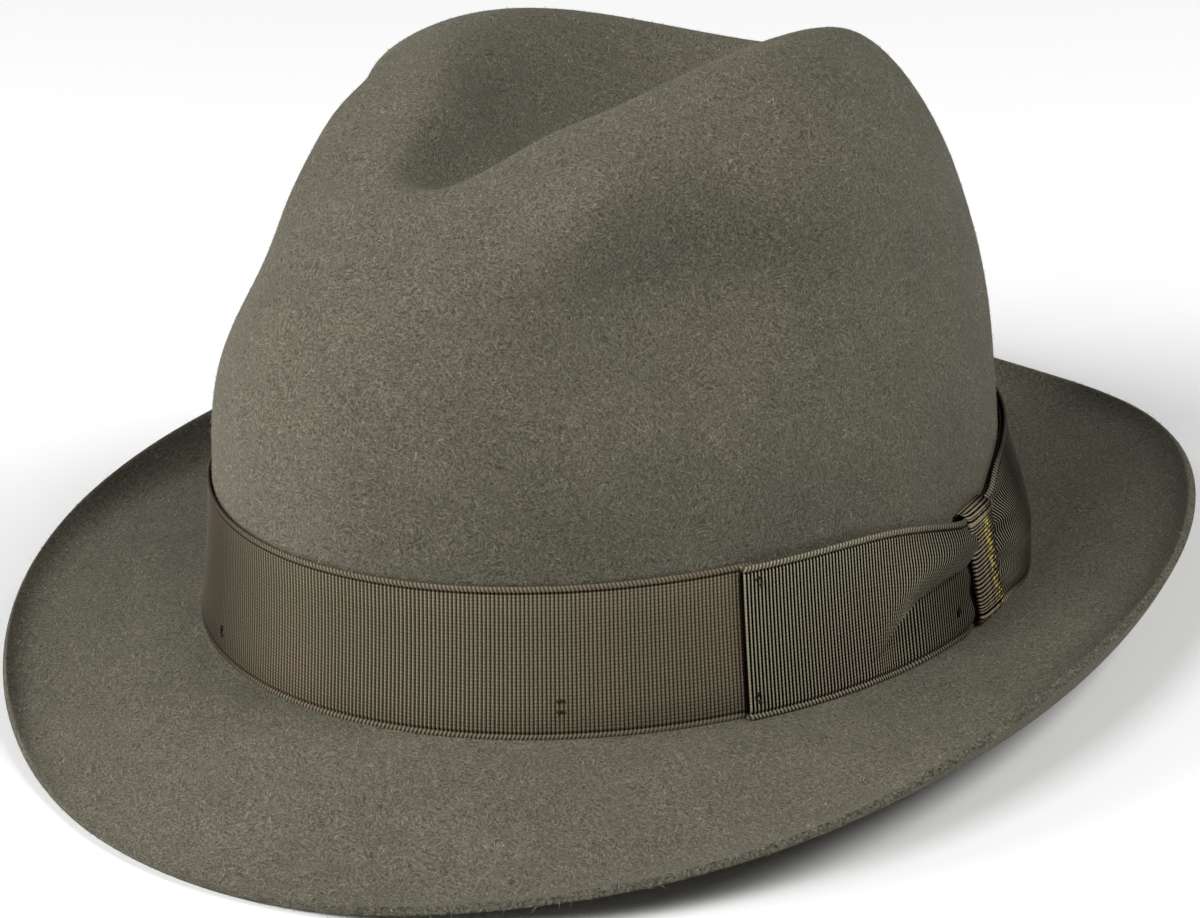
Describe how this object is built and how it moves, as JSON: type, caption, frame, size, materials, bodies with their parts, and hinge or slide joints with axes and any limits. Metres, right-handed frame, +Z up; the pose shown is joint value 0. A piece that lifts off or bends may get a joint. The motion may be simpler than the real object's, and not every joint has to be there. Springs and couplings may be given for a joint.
{
  "type": "trilby",
  "caption": "Soft fur felt trilby: crown with a lengthwise crease and thumb dents, snapped brim with a raw cut edge, wide ribbed ribbon, and a flat side bow under a wrapped keeper.",
  "frame": {"origin": "centre of the hat's outline on the surface that it rests on", "axes": "+Z up, the front of the brim towards -Y, the wearer's left with the bow towards +X"},
  "size_m": [0.2607, 0.3026, 0.1423],
  "materials": {
    "felt": "short-napped fur felt, olive grey-brown, matt",
    "ribbon": "ribbed ribbon, brown olive, low sheen",
    "bow_ribbon": "ribbed ribbon, dark olive, low sheen",
    "keeper_ribbon": "ribbed ribbon with a few gold threads, low sheen"
  },
  "bodies": {
    "root": {"felt_body": "felt", "hatband": "ribbon", "bow_front_wing": "bow_ribbon", "bow_rear_wing": "bow_ribbon", "bow_keeper": "keeper_ribbon"}
  },
  "joints": []
}
